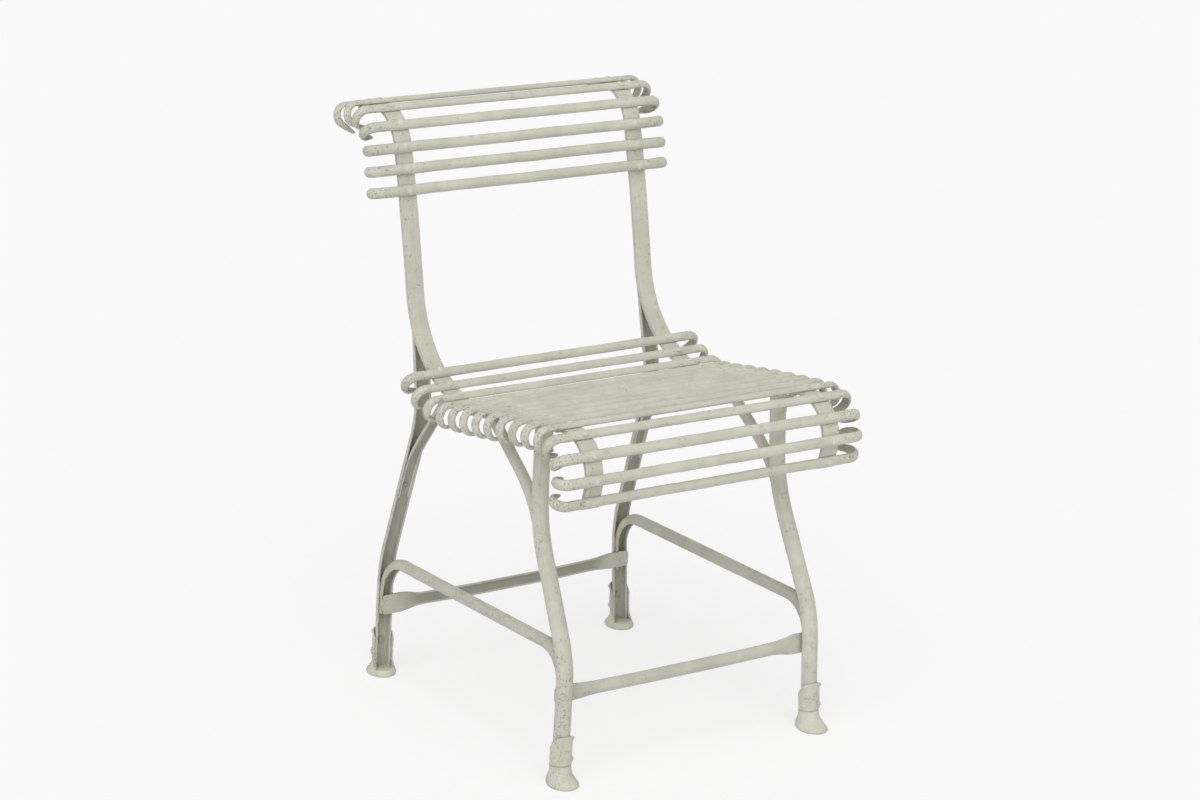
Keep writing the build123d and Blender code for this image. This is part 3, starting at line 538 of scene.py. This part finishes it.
# Of each bar: the way it faces, its name, then in millimetres its distance back, its height, the leg's
# distance to the side, how far it sags and slants, and half the height of its left and its right paddle.
front_cross = -1, "front", -222.22, 111.5, 183.3, 1.1, 1.2, (10.8, 13.4)
rear_cross = 1, "rear", 189.41, 98.0, 183.75, 2.0, 1.7, (13.4, 11.0)
cross_section, cross_hollow_side = channel(cross_radius, cross_wall, 0)
outside = cross_hollow_side == 0
way = np.clip(cross_section[:, 0] / np.where(outside, cross_radius, cross_bore), -1, 1)
paddle_edge = (1 - np.abs(way) ** 8) ** 0.25
paddle_b = paddle_deep + np.where(outside, paddle_deep, -paddle_deep) * paddle_edge
for fore, place, inner_y, height, leg_x, sag, slant, paddle_half in (front_cross, rear_cross):
    end_x = (leg_x + paddle_past_leg) * mm
    corner_x = end_x - paddle_corner * mm
    round_end = end_x - paddle_corner * mm * (1 - np.cos(np.linspace(0, np.pi / 2, 9)))
    reach = np.concatenate([round_end, np.linspace(corner_x, 0, 130)[1:]])
    run = np.concatenate([-reach, reach[-2::-1]])
    flat_share = blend(np.abs(run), end_x - hammered_from, end_x - flat_from)[:, None]
    corner = np.clip((np.abs(run) - corner_x) / (paddle_corner * mm), 0, 1)
    half_tall = (np.where(run < 0, *paddle_half) - paddle_corner * (1 - np.sqrt(1 - corner ** 2))) * mm
    a = paint_build * cross_section[:, 0] * (1 - flat_share) + half_tall[:, None] * way * flat_share
    b = cross_section[:, 1] * (1 - flat_share) + paddle_b * flat_share
    rounds = np.stack([a * (1 + ripple(run, 0.012, 0.08, 70 + fore))[:, None], b], axis=-1)
    droop = sag * blend(np.abs(run), end_x - sags_from, end_x - sagged_at)
    path = np.stack([run, 0 * run + inner_y * mm, (height - droop + slant * run / end_x) * mm], axis=-1)
    across = np.broadcast_to([0.0, 0.0, 1.0], path.shape)
    out = np.broadcast_to([0.0, float(fore), 0.0], path.shape)
    # Painted shade in the hollow, fading out where the bar is hammered flat.
    painted_shade = cross_hollow_side * (1 - flat_share)
    make_piece("%s_cross_bar" % place, [skin(carry(path, across, out, rounds), run, painted_shade)],
               ["%s_stretcher" % place], stretcher_paint, crease=50)

# Hooves: four cast-iron feet shaped as a goat's foot, each with a sleeve round the leg, two dew claws,
# a coronet seam and a broad sole. The sleeve is slipped over the leg's round side and pinned.
hoof_paint = grey_paint("hoof_paint", (0.575, 0.565, 0.478), (0.505, 0.496, 0.418), streaks=0.14, pits=-0.4,
                        dents=1.0, mapped=True)
hoof_bore = 11.7 * mm
sleeve_radius = 14.1 * mm
coronet_z = 24.0 * mm
sleeve_top = 62.0 * mm
sleeve_from = 33.0 * mm
hollow_floor = leg_base * mm
lip_z = 3.8 * mm
sole_half = 18.8 * mm
coronet_half = 14.6 * mm
coronet_deep = 13.7 * mm
rim_drop = 13.0 * mm
flared_from = 49.0 * mm
collar_off, collar_wide = 0.9, 0.6
heel_power, toe_power = 3.0, 1.4
tip_share = 0.12
claw_z, ear_z, claw_off = 31.0 * mm, 57.5 * mm, 0.98
sole_levels = np.array([0.0, 0.3, 0.9, 1.8, 3.0, 4.4, 6.0, 7.4, 8.5, 9.0]) * mm
flare_levels = np.array([9.0, 9.6, 10.6, 12.0, 13.6, 15.4, 17.2, 19.0, 20.6, 22.0, 23.0, 23.6]) * mm
seam_levels = np.linspace(24.0, 26.0, 8) * mm
sleeve_levels = np.linspace(26.6 * mm, sleeve_top, 58)


def hoof_rings(reach, length, seed):
    """Rings of the foot from the sole up. The outside is an ellipse whose centre and half axes follow the
    height: an undercut lip, long from heel to toe, a flare up to the coronet and the round sleeve above. The
    flare is a power of the height, steep and thin-lipped at heel and sides and nearly straight at the toe.
    Bell-shaped bumps make the dew claws and the ears, a narrow dip the seam. The inside is the leg's bore
    above the floor of the hollow, and below it the rest of the ellipse, so the sole is solid. The collar's
    rim is level over the round side, drops away at both open edges and stands a little off the leg."""
    levels = np.concatenate([sole_levels, flare_levels, seam_levels, sleeve_levels])
    hollow = (np.arange(len(levels)) >= len(sole_levels))[:, None]
    z = levels[:, None]
    under = np.clip(1 - z / lip_z, 0, 1) ** 2
    rise = np.clip((z - lip_z) / (coronet_z - lip_z), 0, 1)
    above = blend(z, coronet_z, sleeve_from)
    rim = np.clip((z - coronet_z) / (sleeve_top - coronet_z), 0, 1)
    stands_off = blend(z, flared_from, sleeve_top)

    def ellipse(flare):
        """Half axes and centre where this share of the sole's ellipse is left."""
        half_a = (sole_half - 1.7 * mm * under) * flare + coronet_half * (1 - flare) * (1 - above)
        half_b = (length - 1.9 * mm * under) * flare + coronet_deep * (1 - flare) * (1 - above)
        return half_a + sleeve_radius * above, half_b + sleeve_radius * above, reach * flare

    def rim_height(off):
        """The level, lowered by the fourth power of how far off the crest a point is, in quarter turns."""
        return z - rim * rim_drop * np.clip(off / (np.pi / 2), 0, 1.05) ** 4

    heel_a, heel_b, heel_mid = ellipse((1 - rise) ** heel_power)
    open_b = -6.0 * mm * (1 - blend(z, hollow_floor, 20.0 * mm))
    dip = np.arcsin(np.clip((heel_mid - open_b) / heel_b, -0.95, 0.95))
    turn = -dip + (np.pi + 2 * dip) * np.linspace(0, 1, 61)
    toe_side = np.clip(np.sin(turn), 0, 1) ** 2
    half_a, half_b, mid_b = ellipse((1 - rise) ** (heel_power - (heel_power - toe_power) * toe_side))
    off = np.abs(turn - np.pi / 2)
    tall = rim_height(off)
    seam = bell(tall, 24.9 * mm + 0.4 * mm * np.cos(2 * turn), 0.5 * mm)
    claws = 2.6 * mm * bell(off, claw_off, 0.17) * bell(tall, claw_z, 3.2 * mm)
    ears = 1.9 * mm * bell(off, claw_off, 0.15) * bell(tall, ear_z, 2.4 * mm)
    swell = 0.8 * mm * bell(tall, 40.0 * mm, 11.0 * mm) + 0.5 * mm * bell(tall, 27.2 * mm, 1.8 * mm)
    collar = 1.1 * mm * stands_off * bell(off, collar_off, collar_wide)
    toe_crease = 0.5 * mm * bell(off, 0.0, 0.1) * (1 - blend(z, 6.0 * mm, 19.0 * mm))
    rim_ease = 0.9 * mm * blend(z, sleeve_top - 1.2 * mm, sleeve_top)
    cast = ripple(turn * 0.02 + z, 0.22 * mm, 0.034, seed)
    bump = claws + ears + swell + collar - 1.0 * mm * seam - toe_crease + cast - rim_ease
    a_out = (half_a + bump) * np.cos(turn)
    b_out = mid_b + (half_b + bump) * np.sin(turn)
    back_way = np.linspace(0, 1, 63)[None, 1:-1]
    bore_turn = np.pi * (1 - np.clip((back_way - tip_share) / (1 - 2 * tip_share), 0, 1))
    depth = np.clip(1 - np.minimum(back_way, 1 - back_way) / tip_share, 0, 1)
    off_in = np.abs(bore_turn - np.pi / 2)
    bore = hoof_bore + 1.5 * mm * stands_off * bell(off_in, collar_off, collar_wide)
    rest = np.pi + dip + (np.pi - 2 * dip) * back_way
    a_in = np.where(hollow, bore * np.cos(bore_turn), heel_a * np.cos(rest))
    b_in = np.where(hollow, bore * np.sin(bore_turn) + open_b * depth, heel_mid + heel_b * np.sin(rest))
    # Painted shade: the seam's dip and the whole inside of the hollow are darkened.
    shade_mask = np.concatenate([0.7 * seam, hollow + 0 * back_way], axis=1)
    return (np.concatenate([a_out, a_in], axis=1), np.concatenate([b_out, b_in], axis=1),
            np.concatenate([tall, rim_height(off_in)], axis=1), levels, shade_mask)


# Of each pair: its name, the way it faces, its place, how far the sole's middle is out and half its length.
front_hoof = "front", -1, front_foot_y, 9.0 * mm, 24.2 * mm
rear_hoof = "rear", 1, rear_foot_y, 3.2 * mm, 22.8 * mm
for place, fore, foot_y, toe, length in (front_hoof, rear_hoof):
    for side, hand in sides:
        corner = "%s_%s" % (place, hand)
        a, b, tall, levels, shade_mask = hoof_rings(toe, length, 300 + 7 * side + 3 * fore)
        splayed = side * foot_x + a - side * np.sin(splay) * tall
        rings = np.stack([splayed, foot_y * mm + fore * b, tall], axis=-1)
        make_piece(corner + "_foot", [skin(rings, levels, shade_mask)], [corner + "_hoof"],
                   hoof_paint, crease=60)

# Rivets: round-headed iron pins, hammered over at the back and painted with the rest. Two hold each slat,
# with heads painted a little paler. Larger ones hold the legs' joints. On those of braces and feet the tails,
# which face the middle of the chair inside a hollow, are darkened with painted shade.
head_paint = grey_paint("pale_head_paint", (0.595, 0.585, 0.50), (0.535, 0.525, 0.446), streaks=0.1, pits=0.3,
                        dents=0.8, mapped=False)
pin_paint = grey_paint("pin_paint", (0.54, 0.53, 0.452), (0.48, 0.47, 0.40), streaks=0.1, pits=0.6, dents=0.8,
                       mapped=False)
paddle_pin_paint = grey_paint("paddle_pin_paint", (0.53, 0.52, 0.442), (0.47, 0.46, 0.39), streaks=0.1,
                              pits=0.5, dents=0.8, mapped=False)
# Painted shade for pin tails that face into a hollow.
hollow_shade_tone = 0.27, 0.267, 0.222, 1.0
pin_node = partial(shader_node, pin_paint.node_tree)
pin_shader = next(n for n in pin_paint.node_tree.nodes if n.bl_idname == "ShaderNodeBsdfPrincipled")
pin_base = pin_shader.inputs["Base Color"]
normal, spot = pin_node("NewGeometry", {})["Normal"], pin_node("TexCoord", {})["Object"]
facing = pin_node("VectorMath", {0: normal, 1: spot}, operation="MULTIPLY")["Vector"]
hollow_shade_limits = {"From Min": -0.02, "From Max": -0.1, "To Min": 0.0, "To Max": 0.85}
hollow_shade = pin_node("MapRange", {"Value": pin_node("SeparateXYZ", {0: facing})["Y"], **hollow_shade_limits})["Result"]
tinted = pin_node("Mix", {0: hollow_shade, 6: pin_base.links[0].from_socket, 7: hollow_shade_tone}, data_type="RGBA")[2]
pin_paint.node_tree.links.new(tinted, pin_base)
for name, paint in (("slat_rivets", head_paint), ("brace_rivets", pin_paint), ("hoof_rivets", pin_paint),
                    ("stretcher_rivets", paddle_pin_paint), ("rear_leg_rivets", paddle_pin_paint)):
    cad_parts[name].material_slots[0].material = paint

# Floor: a wide sheet of white paper under the chair, seen up to the horizon, matt and nearly flat in tone.
# As on a lit studio table the paper glows a little to the camera, so the chair's shadow on it is pale.
floor_half = 40
glow_strength = 0.66


def seen_rays(tree):
    """1 for camera, glossy and transmission rays, 0 for rays that carry light: the largest of the three."""
    kind = shader_node(tree, "LightPath", {})
    seen = kind["Is Camera Ray"]
    for other in ("Is Glossy Ray", "Is Transmission Ray"):
        seen = shader_node(tree, "Math", {0: seen, 1: kind[other]}, operation="MAXIMUM")["Value"]
    return seen


floor_corners = [(x * floor_half, y * floor_half, 0) for x, y in ((-1, -1), (1, -1), (1, 1), (-1, 1))]
floor_mesh = bpy.data.meshes.new("paper_floor")
floor_mesh.from_pydata(floor_corners, [], [(0, 1, 2, 3)])
paper = bpy.data.materials.new("white_paper")
paper.use_nodes = True
tree = paper.node_tree
sheet = tree.nodes["Principled BSDF"]
sheet.inputs["Base Color"].default_value = (0.945, 0.945, 0.946, 1)
sheet.inputs["Roughness"].default_value = 0.9
sheet.inputs["Specular IOR Level"].default_value = 0.1
glow = shader_node(tree, "Emission", {"Color": (0.957, 0.957, 0.957, 1)})["Emission"]
glow_share = shader_node(tree, "Math", {0: seen_rays(tree), 1: glow_strength}, operation="MULTIPLY")["Value"]
both = shader_node(tree, "MixShader", {0: glow_share, 1: sheet.outputs["BSDF"], 2: glow})["Shader"]
tree.links.new(both, tree.nodes["Material Output"].inputs["Surface"])
floor_mesh.materials.append(paper)
floor = bpy.data.objects.new("paper_floor", floor_mesh)
bpy.context.scene.collection.objects.link(floor)

# Light: an even white room that lights the chair from all round, pure white where it is seen, and one broad
# soft lamp from the upper left front that gives the bars their shape.
room_strength = 0.56
lamp_strength = 1.85
world = bpy.data.worlds.new("white_room")
bpy.context.scene.world = world
world.use_nodes = True
tree = world.node_tree
tree.nodes.clear()
room = shader_node(tree, "Background", {"Color": (1, 1, 1, 1), "Strength": room_strength})["Background"]
white = shader_node(tree, "Background", {"Color": (1, 1, 1, 1)})["Background"]
pick = shader_node(tree, "MixShader", {0: seen_rays(tree), 1: room, 2: white})["Shader"]
shader_node(tree, "OutputWorld", {"Surface": pick})
lamp = bpy.data.lights.new("soft_lamp", "SUN")
lamp.energy = lamp_strength
lamp.angle = np.radians(60)
lamp_stand = bpy.data.objects.new("soft_lamp", lamp)
lamp_stand.rotation_euler = np.radians((38, -14, -20))
bpy.context.scene.collection.objects.link(lamp_stand)

# Camera: a long lens at standing height, off the chair's front left corner, tipped a little to the side,
# so that the whole chair stands upright in the picture with the floor all round it.
camera = bpy.data.cameras.new("camera")
camera.sensor_width = 36.0
camera.lens = 100.04
camera.clip_end = 200.0
stand = bpy.data.objects.new("camera", camera)
stand.matrix_world = Matrix(((0.835525, 0.128837, -0.534134, -2.233251),
                             (-0.548790, 0.243403, -0.799740, -3.361112),
                             (0.026973, 0.961330, 0.274074, 1.546598),
                             (0, 0, 0, 1)))
bpy.context.scene.collection.objects.link(stand)
bpy.context.scene.camera = stand
bpy.context.scene.view_settings.view_transform = "Standard"
